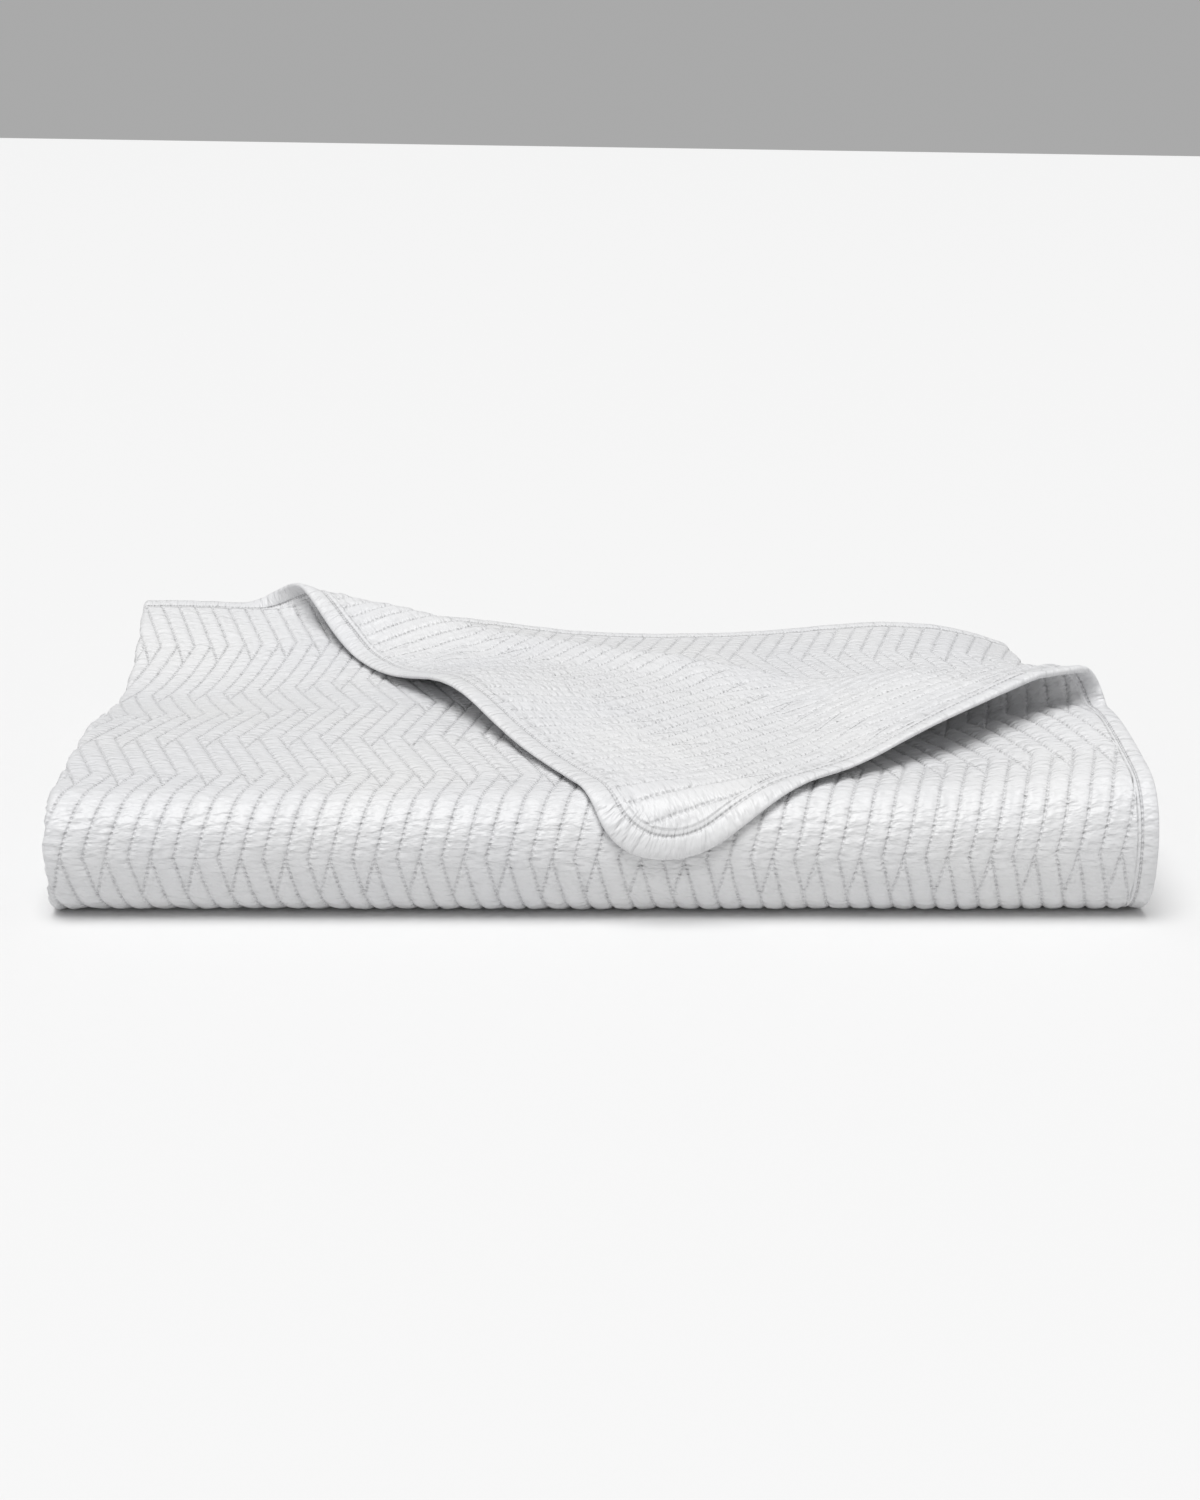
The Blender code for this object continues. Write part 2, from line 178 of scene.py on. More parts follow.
def section(s, w):
    """Point (y, z) at path length s, a distance w outside the centre line."""
    sc = np.clip(s, 0.0, LENGTH)
    y = np.interp(sc, PATH_S, PATH[:, 0])
    z = np.interp(sc, PATH_S, PATH[:, 1])
    ty = np.interp(sc, PATH_S, TANGENT[:, 0])
    tz = np.interp(sc, PATH_S, TANGENT[:, 1])
    norm = np.hypot(ty, tz)
    over = np.clip(-s, 0.0, None)
    angle = np.minimum(over / DROOP, 0.5 * math.pi)
    rest = over - angle * DROOP
    y = y + DROOP * np.sin(angle)
    z = z - DROOP * (1.0 - np.cos(angle)) - rest
    ny = np.where(over > 0.0, np.sin(angle), tz / norm)
    nz = np.where(over > 0.0, np.cos(angle), -ty / norm)
    return y + w * ny, z + w * nz


def across(u):
    """Width position x, ply offset w and the cloth's outer normal in that plane."""
    a = PLY_ONE
    b = a + FOLD_ARC
    c = b + PLY_TWO
    d = c + FOLD_ARC
    left = np.clip((u - a) / FOLD_ARC, 0.0, 1.0) * math.pi
    right = np.clip((u - c) / FOLD_ARC, 0.0, 1.0) * math.pi
    r = 0.5 * PLY
    x = X_RIGHT - np.minimum(u, a) + np.clip(u - b, 0.0, PLY_TWO) - np.maximum(u - d, 0.0)
    x = x - r * np.sin(left) + r * np.sin(right)
    w = PLY - r * (1.0 - np.cos(left)) - r * (1.0 - np.cos(right))
    turn = left - right
    return x, w, -np.sin(left) - np.sin(right), np.cos(turn)


def loop_table(share):
    t = np.array(LOOP)
    k = np.clip(share, 0.0, 1.0)
    i = np.clip(np.searchsorted(t[:, 0], k, side="right") - 1, 0, len(t) - 2)
    f = (k - t[i, 0]) / (t[i + 1, 0] - t[i, 0])
    f = f * f * (3.0 - 2.0 * f)
    radius = t[i, 1] + f * (t[i + 1, 1] - t[i, 1])
    slope = t[i, 2] + f * (t[i + 1, 2] - t[i, 2])
    drop = np.maximum(2.0 * radius - LIE, 0.0)
    extra = 0.617 * drop * drop / slope
    start = -0.5 * (math.pi * radius + extra)
    return radius, slope, drop, extra, start


FOLD_VEC = np.array(Q_LINE) - np.array(P_LINE)
FOLD_LEN = float(np.hypot(*FOLD_VEC))
EX, ES = FOLD_VEC / FOLD_LEN
NX, NS = ES, -EX


def warped(u, v):
    """Where a point of the outer ply lies before the corner is turned."""
    x = X_RIGHT - u
    back = np.clip((FRONT_START - v) / FRONT_START, 0.0, 1.0) ** 1.4
    side = np.clip((x - X_LEFT_FOLD) / (X_RIGHT - X_LEFT_FOLD), 0.0, 1.0)
    return x + TURN_X * back * side, v - TURN_Y * back * side


def fold_coordinates(u, v):
    x, s = warped(u, v)
    dx = x - P_LINE[0]
    ds = s - P_LINE[1]
    return dx * EX + ds * ES, dx * NX + ds * NS


def swell(x, y, z):
    """Smooth uneven filling; the underside stays flat on the floor."""
    gain = np.ones_like(x)
    for cx, cy, wx, wy, amount in SWELL:
        gain = gain + amount * np.exp(-((x - cx) / wx) ** 2 - ((y - cy) / wy) ** 2)
    lobe = np.exp(-((z - 0.058) / 0.016) ** 2) * np.clip(-x / 0.39, 0.0, 1.0) ** 6
    back = np.clip(y / 0.5, 0.0, 1.2)
    left = LEFT_TAPER * back * np.clip(-x / 0.39, 0.0, 1.0) ** 3
    waist = LEFT_WAIST * np.exp(-((y - 0.38) / 0.13) ** 2) * np.clip(-x / 0.39, 0.0, 1.0) ** 3
    return x + left + waist - LEFT_LOBE * lobe, y, (z - UNDER) * gain


def lay(u, v, t):
    """Folded position of the flat point (u, v), t outside the cloth's mid surface."""
    u = np.asarray(u, float)
    v = np.asarray(v, float)
    t = np.asarray(t, float)
    x, w, mx, mw = across(u)
    s = v.copy()
    outer = u < PLY_ONE
    xw, sw = warped(u, v)
    along, q = fold_coordinates(u, v)
    radius, slope, drop, extra, start = loop_table(along / FOLD_LEN)
    angle = np.clip((q - start) / radius, 0.0, math.pi)
    past = np.clip(q - start - math.pi * radius, 0.0, None)
    run = np.where(past < slope + extra, past * slope / (slope + extra), past - extra)
    k = np.clip(run / slope, 0.0, 1.0)
    up = radius * (1.0 - np.cos(angle)) - drop * 0.5 * (1.0 - np.cos(math.pi * k))
    up = np.where(past > 0.0, 2.0 * radius - drop * 0.5 * (1.0 - np.cos(math.pi * k)), up)
    out = np.where(angle > 0.0, start + radius * np.sin(angle) - FLAP_REACH * run, q)
    tilt = np.where(past > 0.0, -drop * 0.5 * math.pi * np.sin(math.pi * k) / slope, 0.0)
    tn = np.where(past > 0.0, -1.0, np.cos(angle))
    tw = np.where(past > 0.0, tilt, np.sin(angle))
    size = np.hypot(tn, tw)
    nn = -tw / size
    nw = tn / size
    pos_n = out - q + t * nn
    drift = FLAP_DRIFT * run
    x1 = xw + pos_n * NX + drift * EX
    s1 = sw + pos_n * NS + drift * ES
    lift = sum(h * np.exp(-((u - cu) / wu) ** 2 - ((v - cv) / wv) ** 2) for cu, cv, wu, wv, h in LIFT)
    w1 = PLY + up + t * nw + lift * np.clip(past / 0.03, 0.0, 1.0) ** 2
    x = np.where(outer, x1, x + t * mx)
    s = np.where(outer, s1, s)
    w = np.where(outer, w1, w + t * mw)
    y, z = section(s, w)
    return swell(x, y, z)


def quilt_shift(v):
    k = np.mod(v - FIRST_BAND + QUILT_BAND, 2.0 * QUILT_BAND) - QUILT_BAND
    return QUILT_SLOPE * np.abs(k)


# Fine mesh
STEP_V = 0.0035
PHASES = 6
RING_STEP = 0.0042
PUCKER = 0.0006
SEED = 7
STITCH = 0.003


def smooth_noise(x, y, seed):
    """Repeatable value noise of two coordinates, between -1 and 1."""
    rng = np.random.default_rng(seed)
    grid = rng.uniform(-1.0, 1.0, (256, 256))
    x0 = np.floor(x).astype(int)
    y0 = np.floor(y).astype(int)
    fx = x - x0
    fy = y - y0
    fx = fx * fx * (3.0 - 2.0 * fx)
    fy = fy * fy * (3.0 - 2.0 * fy)
    a = grid[x0 % 256, y0 % 256]
    b = grid[(x0 + 1) % 256, y0 % 256]
    c = grid[x0 % 256, (y0 + 1) % 256]
    d = grid[(x0 + 1) % 256, (y0 + 1) % 256]
    return (a * (1 - fx) + b * fx) * (1 - fy) + (c * (1 - fx) + d * fx) * fy


def quilt_shift(v):
    k = np.mod(v - FIRST_BAND + QUILT_BAND, 2.0 * QUILT_BAND) - QUILT_BAND
    return QUILT_SLOPE * np.abs(k)


def seam_distance(u, v):
    """Distance along u to the nearest stitched line, and that line's number."""
    flat = u - quilt_shift(v)
    line = np.round(flat / CHANNEL)
    near = np.abs(flat - line * CHANNEL)
    band = np.floor((v - FIRST_BAND) / QUILT_BAND)
    past = v - FIRST_BAND - band * QUILT_BAND
    edge = v - past
    slope = np.where(np.mod(band, 2.0) == 0.0, -QUILT_SLOPE, QUILT_SLOPE)
    over = u - quilt_shift(edge) - slope * past
    even = np.round(over / (2.0 * CHANNEL)) * 2.0 * CHANNEL
    reach = CHANNEL / (2.0 * QUILT_SLOPE)
    extra = np.abs(over - even) + np.where(past < reach, 0.0, 1.0)
    return np.minimum(near, extra), line


def puff(u, v):
    """Half thickness of the quilted cloth, thin at the stitching and full between."""
    near, line = seam_distance(u, v)
    share = np.clip(near / (0.5 * CHANNEL), 0.0, 1.0)
    round_up = np.sqrt(1.0 - (1.0 - share) ** 2.2)
    run = v / 0.0075
    wave = smooth_noise(run, line * 3.7 + 40.0 * share * 0.02, SEED)
    side = smooth_noise(v / 0.021, u / 0.024, SEED + 1)
    full = CREST_HALF + 0.0005 * side
    ridge = PUCKER * wave * (0.35 + 0.65 * round_up)
    return STITCH_LOW + (full - STITCH_LOW) * round_up + ridge


def ring_half(inset, where):
    table = ((0.0, 0.0), (0.0006, 0.0011), (0.0018, 0.0018), (0.005, 0.0021), (0.009, 0.0019),
             (0.0112, 0.0013), (0.0120, 0.0008), (0.0128, 0.0013), (0.0145, 0.0018), (0.0165, 0.0016))
    half = np.interp(inset, [t[0] for t in table], [t[1] for t in table])
    wave = smooth_noise(where / 0.011, np.full_like(where, 3.3), SEED + 2)
    return half * (1.0 + 0.16 * wave)


RINGS = (0.0, 0.0006, 0.0018, 0.005, 0.009, 0.0112, 0.0120, 0.0128, 0.0145, 0.0165)


def row_stations():
    """Coarse rows along v, close together where the cloth bends."""
    rows = [HEM_END, HEM_END + 0.005]
    k = FIRST_BAND
    while k > 0.05:
        rows.append(k)
        k -= 0.5 * QUILT_BAND
    rows.append(FRONT_START - 0.002)
    rows.extend(FRONT_START + (FRONT_END - FRONT_START) * k / 18 for k in range(1, 19))
    marks = [FRONT_END]
    arc = math.pi * 0.5 * BAND
    for run in (Y_BACK_FOLD - Y_TANGENT, Y_BACK_FOLD - Y_FRONT_FOLD, Y_BACK_FOLD - Y_FRONT_FOLD):
        s = marks[-1]
        rows.extend(s + run * k / 5.0 for k in range(1, 5))
        rows.extend(s + run + arc * k / 10.0 for k in range(11))
        marks.append(s + run + arc)
    last = LENGTH - marks[-1]
    rows.extend(marks[-1] + last * k / 5.0 for k in range(1, 5))
    rows.append(LENGTH - HEM_END)
    rows = sorted(rows)
    keep = [rows[0]]
    for r in rows[1:]:
        if r - keep[-1] > 0.0015:
            keep.append(r)
    return keep


def column_stations():
    cols = []
    for start in (PLY_ONE, PLY_ONE + FOLD_ARC + PLY_TWO):
        cols.extend(start + FOLD_ARC * k / 8.0 for k in range(9))
    cols.extend(PLY_ONE * k / 12.0 for k in range(1, 12))
    base = PLY_ONE + FOLD_ARC
    cols.extend(base + PLY_TWO * k / 12.0 for k in range(1, 12))
    base = PLY_ONE + 2.0 * FOLD_ARC + PLY_TWO
    cols.extend(base + PLY_THREE * k / 12.0 for k in range(1, 12))
    return sorted(cols)


def loop_share(u, v):
    along, q = fold_coordinates(u, v)
    radius, slope, drop, extra, start = loop_table(along / FOLD_LEN)
    return (q - start) / (math.pi * radius)


def spaced(stations, lo, hi, step):
    """The stations, with more between lo and hi so that none is further than step."""
    out = list(stations)
    inside = [lo] + [s for s in stations if lo < s < hi] + [hi]
    for a, b in zip(inside[:-1], inside[1:]):
        n = max(int(math.ceil((b - a) / step)), 1)
        out.extend(a + (b - a) * k / n for k in range(n + 1))
    out = sorted(out)
    keep = [out[0]]
    for s in out[1:]:
        if s - keep[-1] > 0.0004:
            keep.append(s)
    return keep


def hem_ring(inset, rows, cols):
    """Points of one line round the cloth, at a distance inside its edge."""
    r = CORNER_RADIUS
    ring = []
    tops = [c for c in cols if r < c < WIDTH - r]
    tops = [c for c in spaced(tops, r, 1.55, RING_STEP) if r < c < WIDTH - r]
    sides = [v for v in rows if r + 0.003 < v < LENGTH - r - 0.003]
    near = [v for v in spaced(sides, r + 0.001, FRONT_END, RING_STEP) if r < v < LENGTH - r - 0.003]
    ring.extend((c, inset) for c in tops)
    few = [math.pi * 0.5 * k / 8.0 for k in range(9)]
    many = [math.pi * 0.5 * k / 26.0 for k in range(27)]
    ring.extend((WIDTH - r + (r - inset) * math.sin(a), r - (r - inset) * math.cos(a)) for a in few)
    ring.extend((WIDTH - inset, v) for v in sides)
    for a in few:
        ring.append((WIDTH - r + (r - inset) * math.cos(a), LENGTH - r + (r - inset) * math.sin(a)))
    ring.extend((c, LENGTH - inset) for c in sorted(cols, reverse=True) if r < c < WIDTH - r)
    ring.extend((r - (r - inset) * math.sin(a), LENGTH - r + (r - inset) * math.cos(a)) for a in few)
    ring.extend((inset, v) for v in sorted(near, reverse=True))
    ring.extend((r - (r - inset) * math.cos(a), r - (r - inset) * math.sin(a)) for a in many)
    return ring


def hidden_under_flap(u, v):
    """True where the turned corner lies close over the outer ply."""
    along, q = fold_coordinates(u, v)
    x = P_LINE[0] + along * EX - q * NX
    s = P_LINE[1] + along * ES - q * NS
    return (q < -0.03) & (x < X_RIGHT - 0.19) & (s > 0.03) & (v < FRONT_START + 0.01)


def fine_outer(u, v):
    share = loop_share(u, v)
    inside = (u > 0.0) & (u < PLY_ONE + 0.5 * FOLD_ARC) & (v < FRONT_END + 0.012)
    return inside & (share < 1.3) & ~hidden_under_flap(u, v)


def fine_inner(u, v):
    share = loop_share(u, v)
    flap = (u < PLY_ONE) & (share > -0.2) & (v < FRONT_START + 0.05)
    mirror = 2.0 * PLY_ONE + FOLD_ARC - u
    x = X_RIGHT - mirror
    q = (x - P_LINE[0]) * NX + (v - P_LINE[1]) * NS
    bare = (u > PLY_ONE + 0.5 * FOLD_ARC) & (u < PLY_ONE + FOLD_ARC + PLY_TWO + 0.004)
    bare &= (q > -0.035) & (v < FRONT_START)
    return flap | bare


def off_edge(u, v):
    """Distance inside the edge of the flat cloth with its rounded corners."""
    r = CORNER_RADIUS
    du = np.minimum(u, WIDTH - u)
    dv = np.minimum(v, LENGTH - v)
    corner = (du < r) & (dv < r)
    rounded = r - np.hypot(np.maximum(r - du, 0.0), np.maximum(r - dv, 0.0))
    return np.where(corner, rounded, np.minimum(du, dv))


def edge_place(u, v):
    """Distance inside the edge, and the running length along it."""
    r = CORNER_RADIUS
    inset = off_edge(u, v)
    cu = np.clip(u, r, WIDTH - r)
    cv = np.clip(v, r, LENGTH - r)
    corner = (cu != u) & (cv != v)
    turn = np.arctan2(np.abs(v - cv), np.abs(u - cu) + 1e-9)
    along_side = np.minimum(u, WIDTH - u) < np.minimum(v, LENGTH - v)
    run = np.where(along_side, v, r * (2.0 - 0.5 * math.pi) - u)
    return np.minimum(inset, 0.06), np.where(corner, r * (1.0 - turn), run)


def triangulate(rings, rows, cols, fine):
    """Flat triangulation of one face: points, half thicknesses, triangles, rim order."""
    pts = []
    half = []
    edges = []
    count = len(rings[0])
    for ring, inset in zip(rings, RINGS):
        base = len(pts)
        flat = np.array(ring)
        pts.extend(ring)
        where = np.r_[0.0, np.cumsum(np.hypot(*np.diff(flat, axis=0).T))]
        half.extend(ring_half(inset, where))
        edges.extend((base + k, base + (k + 1) % count) for k in range(count))
    last_ring = (len(RINGS) - 1) * count
    inner = {(round(p[0], 6), round(p[1], 6)): last_ring + k for k, p in enumerate(rings[-1])}
    all_rows = []
    for a, b in zip(rows[:-1], rows[1:]):
        n = max(int(math.ceil((b - a) / STEP_V)), 1) if a < FRONT_END + 0.012 else 1
        all_rows.extend((a + (b - a) * k / n, k == 0) for k in range(n))
    n = int(WIDTH / CHANNEL) + 3
    index = np.arange(-2 * PHASES, n * PHASES)
    previous = {}
    for v, coarse in all_rows:
        if v < HEM_END + 0.001 or v > LENGTH - HEM_END - 0.001:
            continue
        us = index * CHANNEL / PHASES + quilt_shift(v)
        vs = np.full_like(us, v)
        inside = (us > 0.0) & (us < WIDTH)
        ok = fine(us, vs) & inside & (off_edge(us, vs) > HEM_END + 0.0012)
        keep = np.nonzero(ok)[0]
        size = puff(us[keep], vs[keep])
        rim = np.clip((off_edge(us[keep], vs[keep]) - HEM_END) / 0.004, 0.0, 1.0)
        size = 0.0016 + (size - 0.0016) * rim
        line = [(float(us[i]), float(h), int(index[i])) for i, h in zip(keep, size)]
        if coarse:
            taken = us[keep] if len(keep) else np.array([9.0])
            for j, u in enumerate(cols):
                inset = off_edge(np.array([u]), np.array([v]))[0]
                if np.min(np.abs(taken - u)) > 0.004 and inset > HEM_END + 0.002:
                    line.append((u, HALF, -1000 - j))
        line.sort()
        ids = []
        current = {}
        for u, h, name in line:
            ids.append(len(pts))
            if name % PHASES == 0 or name < -999:
                current[name] = len(pts)
            pts.append((u, v))
            half.append(h)
        edges.extend((previous[k], current[k]) for k in current if k in previous)
        if coarse:
            first = inner.get((round(HEM_END, 6), round(v, 6)))
            last = inner.get((round(WIDTH - HEM_END, 6), round(v, 6)))
            ids = ([first] if first is not None else []) + ids + ([last] if last is not None else [])
            edges.extend(zip(ids[:-1], ids[1:]))
        previous = current
    out = delaunay_2d_cdt([Vector(p) for p in pts], edges, [list(range(count))], 1, 1e-6)
    flat = np.array([tuple(p) for p in out[0]])
    size = np.array([half[o[0]] if o else HALF for o in out[3]])
    rim = {o: k for k, names in enumerate(out[3]) for o in names if o < count}
    return flat, size, [tuple(f) for f in out[2]], [rim[k] for k in range(count)]


def cloth_mesh():
    rows = row_stations()
    cols = column_stations()
    rings = [hem_ring(d, rows, cols) for d in RINGS]
    outer = triangulate(rings, rows, cols, fine_outer)
    inner = triangulate(rings, rows, cols, fine_inner)
    top = np.array(lay(outer[0][:, 0], outer[0][:, 1], outer[1])).T
    low = np.array(lay(inner[0][:, 0], inner[0][:, 1], -inner[1])).T
    shared = dict(zip(inner[3], outer[3]))
    number = np.empty(len(low), int)
    extra = []
    for k in range(len(low)):
        if k in shared:
            number[k] = shared[k]
        else:
            number[k] = len(top) + len(extra)
            extra.append(k)
    verts = np.vstack([top, low[extra]]) - (MIDDLE[0], MIDDLE[1], 0.0)
    verts[:, 2] = np.maximum(verts[:, 2], 0.0)
    flat = np.vstack([outer[0], inner[0][extra]])
    faces = list(outer[2])
    faces += [tuple(int(number[k]) for k in reversed(f)) for f in inner[2]]
    mesh = bpy.data.meshes.new("coverlet_cloth")
    mesh.from_pydata(verts.tolist(), [], faces)
    mesh.update()
    layer = mesh.uv_layers.new(name="Flat")
    loops = np.empty(len(mesh.loops), int)
    mesh.loops.foreach_get("vertex_index", loops)
    layer.data.foreach_set("uv", flat[loops].astype(np.float32).ravel())
    rim = np.column_stack(edge_place(flat[:, 0], flat[:, 1]))
    layer = mesh.uv_layers.new(name="Edge")
    layer.data.foreach_set("uv", rim[loops].astype(np.float32).ravel())
    mesh.shade_smooth()
    return mesh


def nodes_of(name):
    mat = bpy.data.materials.new(name)
    mat.use_nodes = True
    tree = mat.node_tree
    return mat, tree, tree.nodes["Principled BSDF"]


def node(tree, kind, **values):
    made = tree.nodes.new(kind)
    for key, value in values.items():
        if key in made.inputs:
            made.inputs[key].default_value = value
        else:
            setattr(made, key, value)
    return made


def calc(tree, operation, *values):
    """A math node fed with sockets or plain numbers; returns its output."""
    made = tree.nodes.new("ShaderNodeMath")
    made.operation = operation
    for socket, value in zip(made.inputs, values):
        if isinstance(value, (int, float)):
            socket.default_value = value
        else:
            tree.links.new(value, socket)
    return made.outputs[0]


def distance(tree, a, b):
    """Length of the two offsets a and b together."""
    return calc(tree, "SQRT", calc(tree, "ADD", calc(tree, "POWER", a, 2.0), calc(tree, "POWER", b, 2.0)))


def ramp_between(tree, value, low, high):
    """0 below low, 1 above high, smooth between."""
    made = node(tree, "ShaderNodeMapRange", interpolation_type="SMOOTHSTEP")
    made.inputs["From Min"].default_value = low
    made.inputs["From Max"].default_value = high
    tree.links.new(value, made.inputs["Value"])
    return made.outputs["Result"]


def seam_nodes(tree, u, v):
    """Distance from a point of the flat cloth to the nearest line of quilting."""
    run = calc(tree, "SUBTRACT", v, FIRST_BAND)
    turn = calc(tree, "PINGPONG", run, QUILT_BAND)
    flat = calc(tree, "SUBTRACT", u, calc(tree, "MULTIPLY", turn, QUILT_SLOPE))
    near = calc(tree, "PINGPONG", flat, 0.5 * CHANNEL)
    past = calc(tree, "FLOORED_MODULO", run, QUILT_BAND)
    band = calc(tree, "FLOOR", calc(tree, "DIVIDE", run, QUILT_BAND))
    odd = calc(tree, "FLOORED_MODULO", band, 2.0)
    side = calc(tree, "MULTIPLY_ADD", odd, 2.0 * QUILT_SLOPE, -QUILT_SLOPE)
    edge = calc(tree, "MULTIPLY", odd, QUILT_SLOPE * QUILT_BAND)
    over = calc(tree, "SUBTRACT", calc(tree, "SUBTRACT", u, edge), calc(tree, "MULTIPLY", side, past))
    ends = calc(tree, "GREATER_THAN", past, CHANNEL / (2.0 * QUILT_SLOPE))
    extra = calc(tree, "ADD", calc(tree, "PINGPONG", over, CHANNEL), ends)
    return calc(tree, "MINIMUM", near, extra), flat


def sateen():
    """White cotton sateen: quilting stitches with painted shade in their holes and grooves, puckers
    between them, fine twill and a soft sheen.
    """
    mat, tree, shader = nodes_of("white cotton sateen")
    link = tree.links.new
    shader.inputs["Roughness"].default_value = 0.42
    shader.inputs["Sheen Weight"].default_value = 0.15
    shader.inputs["Sheen Roughness"].default_value = 0.35
    shader.inputs["Specular IOR Level"].default_value = 0.5
    flat_map = node(tree, "ShaderNodeUVMap", uv_map="Flat")
    edge_map = node(tree, "ShaderNodeUVMap", uv_map="Edge")
    split = node(tree, "ShaderNodeSeparateXYZ")
    rim = node(tree, "ShaderNodeSeparateXYZ")
    link(flat_map.outputs["UV"], split.inputs[0])
    link(edge_map.outputs["UV"], rim.inputs[0])
    u, v = split.outputs["X"], split.outputs["Y"]
    inset, run = rim.outputs["X"], rim.outputs["Y"]
    near, flat = seam_nodes(tree, u, v)

    inner = ramp_between(tree, inset, HEM_END - 0.002, HEM_END)
    stitch = calc(tree, "PINGPONG", v, 0.5 * STITCH)
    hole = distance(tree, near, stitch)
    dimple = ramp_between(tree, hole, 0.0, 0.0016)
    groove = ramp_between(tree, near, 0.0, 0.0022)
    sunk = calc(tree, "ADD", calc(tree, "MULTIPLY", dimple, 0.6), calc(tree, "MULTIPLY", groove, 0.4))
    sunk = calc(tree, "SUBTRACT", 1.0, calc(tree, "MULTIPLY", calc(tree, "SUBTRACT", 1.0, sunk), inner))
    hem_near = calc(tree, "ABSOLUTE", calc(tree, "SUBTRACT", inset, HEM_WIDTH))
    hem_stitch = calc(tree, "PINGPONG", run, 0.5 * STITCH)
    hem_hole = distance(tree, hem_near, hem_stitch)
    hem_sunk = calc(
        tree,
        "ADD",
        calc(tree, "MULTIPLY", ramp_between(tree, hem_hole, 0.0, 0.0015), 0.5),
        calc(tree, "MULTIPLY", ramp_between(tree, hem_near, 0.0, 0.0013), 0.5),
    )
    # height sets the bump of the stitch holes and grooves, and it also drives the painted shade in them
    # below
    height = calc(tree, "MINIMUM", sunk, hem_sunk)

    spot = node(tree, "ShaderNodeCombineXYZ")
    link(calc(tree, "DIVIDE", flat, 0.0115), spot.inputs["X"])
    link(calc(tree, "DIVIDE", v, 0.0040), spot.inputs["Y"])
    pucker = node(tree, "ShaderNodeTexNoise", Scale=1.0, Detail=2.0, Roughness=0.5)
    link(spot.outputs[0], pucker.inputs["Vector"])
    full = ramp_between(tree, near, 0.0, 0.5 * CHANNEL)
    fade = calc(tree, "SUBTRACT", 1.0, calc(tree, "MULTIPLY", full, 0.45))
    puckers = calc(tree, "MULTIPLY", pucker.outputs["Fac"], fade)
    along = node(tree, "ShaderNodeCombineXYZ")
    link(calc(tree, "DIVIDE", inset, 0.014), along.inputs["X"])
    link(calc(tree, "DIVIDE", run, 0.0052), along.inputs["Y"])
    gather = node(tree, "ShaderNodeTexNoise", Scale=1.0, Detail=2.0, Roughness=0.5)
    link(along.outputs[0], gather.inputs["Vector"])
    hem_part = calc(tree, "SUBTRACT", 1.0, ramp_between(tree, inset, HEM_WIDTH, HEM_END + 0.006))
    gathers = calc(tree, "MULTIPLY", gather.outputs["Fac"], hem_part)
    puckers = calc(tree, "ADD", calc(tree, "MULTIPLY", puckers, inner), gathers)

    tone = node(tree, "ShaderNodeTexNoise", Scale=9.0, Detail=3.0)
    place = node(tree, "ShaderNodeTexCoord")
    link(place.outputs["Object"], tone.inputs["Vector"])
    ramp = node(tree, "ShaderNodeValToRGB")
    ramp.color_ramp.elements[0].position = 0.3
    ramp.color_ramp.elements[0].color = (0.725, 0.728, 0.742, 1.0)
    ramp.color_ramp.elements[1].position = 0.7
    ramp.color_ramp.elements[1].color = (0.755, 0.755, 0.757, 1.0)
    link(tone.outputs["Fac"], ramp.inputs["Fac"])
    shade = node(tree, "ShaderNodeMix", data_type="RGBA", blend_type="MULTIPLY")
    shade.inputs["Factor"].default_value = 1.0
    # painted shade: the base colour is darkened in the stitch holes, along the quilting grooves and along
    # the hem stitch line, where shade falls in these recesses
    painted_seam_shade = node(tree, "ShaderNodeValToRGB")
    painted_seam_shade.color_ramp.elements[0].position = 0.0
    painted_seam_shade.color_ramp.elements[0].color = (0.86, 0.86, 0.865, 1.0)
    painted_seam_shade.color_ramp.elements[1].position = 0.45
    painted_seam_shade.color_ramp.elements[1].color = (1.0, 1.0, 1.0, 1.0)
    link(height, painted_seam_shade.inputs["Fac"])
    link(ramp.outputs["Color"], shade.inputs[6])
    link(painted_seam_shade.outputs["Color"], shade.inputs[7])
    link(shade.outputs[2], shader.inputs["Base Color"])

    twill = node(tree, "ShaderNodeTexWave", Scale=420.0, Distortion=0.6, Detail=1.0)
    twill.inputs["Detail Scale"].default_value = 0.4
    turn = node(tree, "ShaderNodeMapping")
    turn.inputs["Rotation"].default_value = (0.0, 0.0, math.radians(28.0))
    link(flat_map.outputs["UV"], turn.inputs["Vector"])
    link(turn.outputs["Vector"], twill.inputs["Vector"])
    soft = node(tree, "ShaderNodeBump", Strength=1.0, Distance=0.0036)
    sewn = node(tree, "ShaderNodeBump", Strength=1.0, Distance=0.0011)
    fine = node(tree, "ShaderNodeBump", Strength=0.10, Distance=0.0002)
    link(puckers, soft.inputs["Height"])
    link(height, sewn.inputs["Height"])
    link(twill.outputs["Fac"], fine.inputs["Height"])
    link(soft.outputs["Normal"], sewn.inputs["Normal"])
    link(sewn.outputs["Normal"], fine.inputs["Normal"])
    link(fine.outputs["Normal"], shader.inputs["Normal"])
    return mat


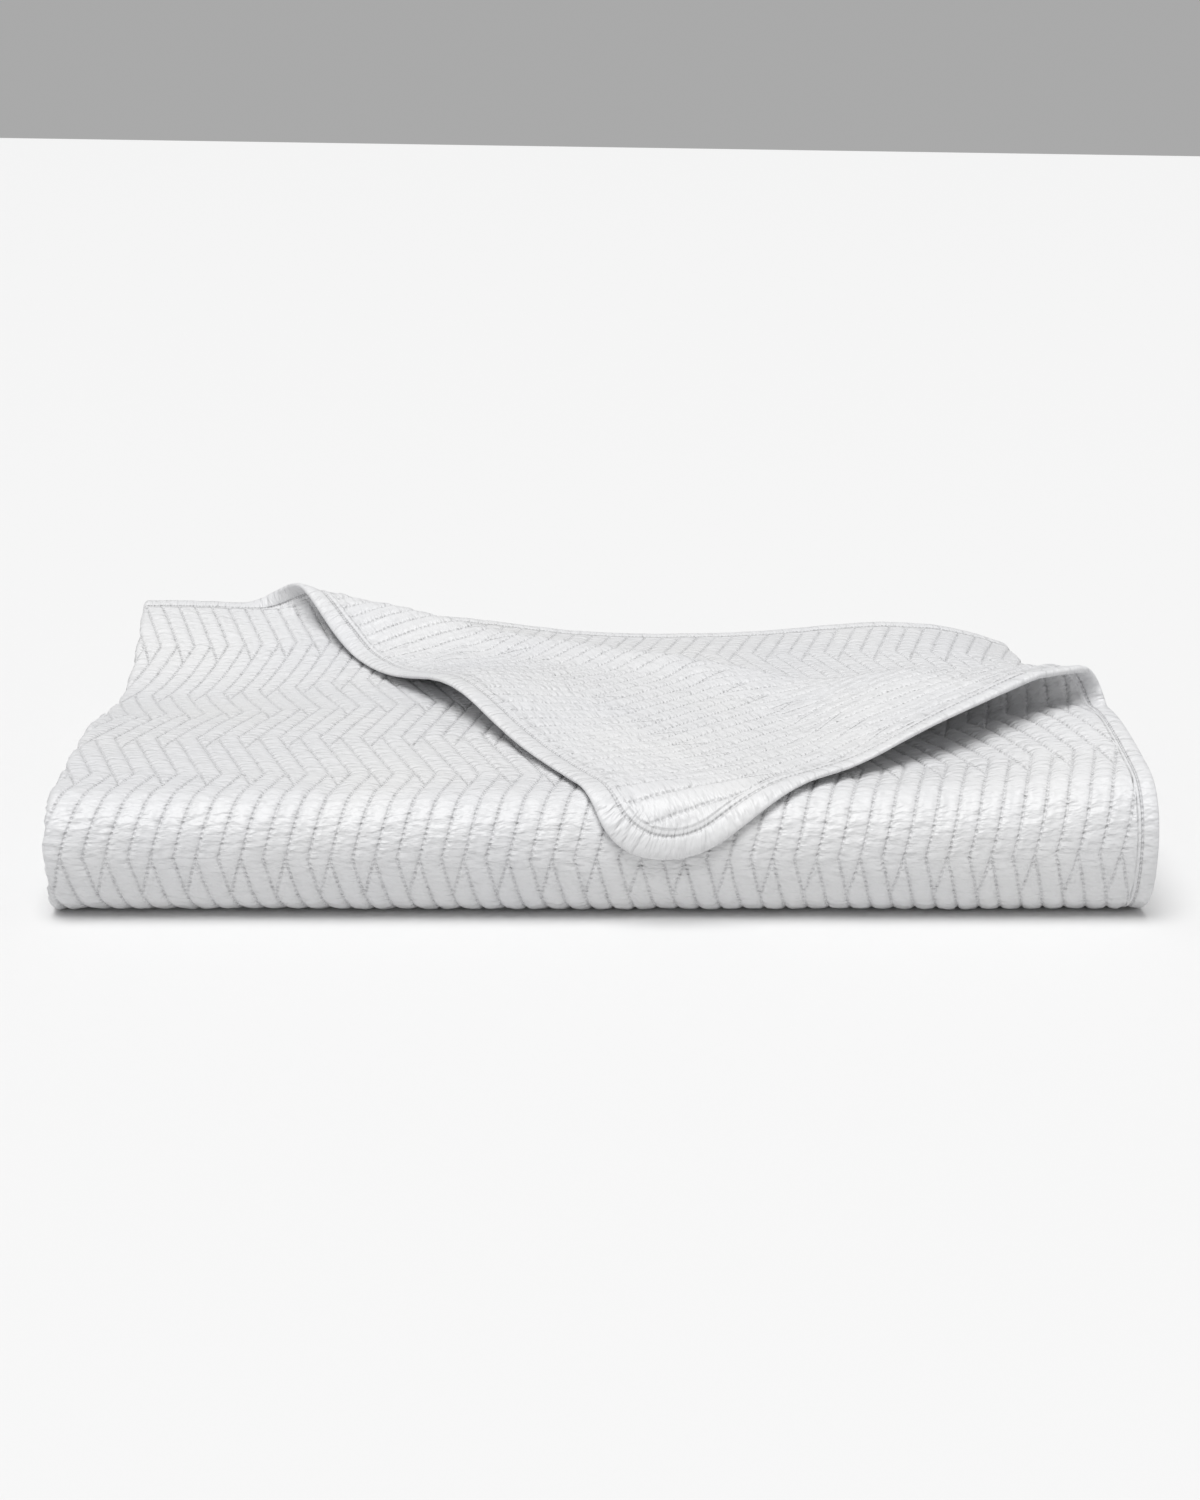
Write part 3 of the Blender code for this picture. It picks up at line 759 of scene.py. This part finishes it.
def pale_floor():
    mat, tree, shader = nodes_of("pale floor")
    shader.inputs["Base Color"].default_value = (0.81, 0.81, 0.81, 1.0)
    shader.inputs["Roughness"].default_value = 0.8
    mesh = bpy.data.meshes.new("floor")
    r = 7.0
    mesh.from_pydata([(-r, -r, 0.0), (r, -r, 0.0), (r, r, 0.0), (-r, r, 0.0)], [], [(0, 1, 2, 3)])
    floor = bpy.data.objects.new("floor", mesh)
    bpy.context.scene.collection.objects.link(floor)
    mesh.materials.append(mat)


def studio():
    """Even white surround and one broad soft light from above and in front."""
    world = bpy.data.worlds.new("studio")
    world.use_nodes = True
    world.node_tree.nodes["Background"].inputs["Color"].default_value = (1.0, 1.0, 1.0, 1.0)
    world.node_tree.nodes["Background"].inputs["Strength"].default_value = 0.40
    bpy.context.scene.world = world
    light = bpy.data.lights.new("overhead softbox", "SUN")
    light.energy = 2.45
    light.angle = math.radians(40.0)
    lamp = bpy.data.objects.new("overhead softbox", light)
    lamp.rotation_euler = Vector((0.12, 0.20, -1.0)).to_track_quat("-Z", "Y").to_euler()
    bpy.context.scene.collection.objects.link(lamp)


def camera():
    cam = bpy.data.cameras.new("camera")
    cam.lens = FOCAL_PX / PICTURE_HIGH * SENSOR
    cam.sensor_width = SENSOR
    cam.clip_end = 50.0
    holder = bpy.data.objects.new("camera", cam)
    bpy.context.scene.collection.objects.link(holder)
    cy, sy = math.cos(CAM_YAW), math.sin(CAM_YAW)
    cp, sp = math.cos(CAM_PITCH), math.sin(CAM_PITCH)
    cr, sr = math.cos(CAM_ROLL), math.sin(CAM_ROLL)
    ahead = Vector((-sy * cp, cy * cp, -sp))
    right = Vector((cy, sy, 0.0))
    up = Vector((-sy * sp, cy * sp, cp))
    x = cr * right + sr * up
    y = cr * up - sr * right
    turn = Matrix((x, y, -ahead)).transposed().to_4x4()
    spot = Vector(CAM_PLACE) - Vector((MIDDLE[0], MIDDLE[1], 0.0))
    holder.matrix_world = Matrix.Translation(spot) @ turn
    bpy.context.scene.camera = holder


def main():
    bpy.context.scene.view_settings.view_transform = "Standard"
    camera()
    cloth = bpy.data.objects.new("coverlet_cloth", cloth_mesh())
    bpy.context.scene.collection.objects.link(cloth)
    cloth.data.materials.append(sateen())
    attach(cloth, "root")
    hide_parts("coverlet")
    pale_floor()
    studio()


main()
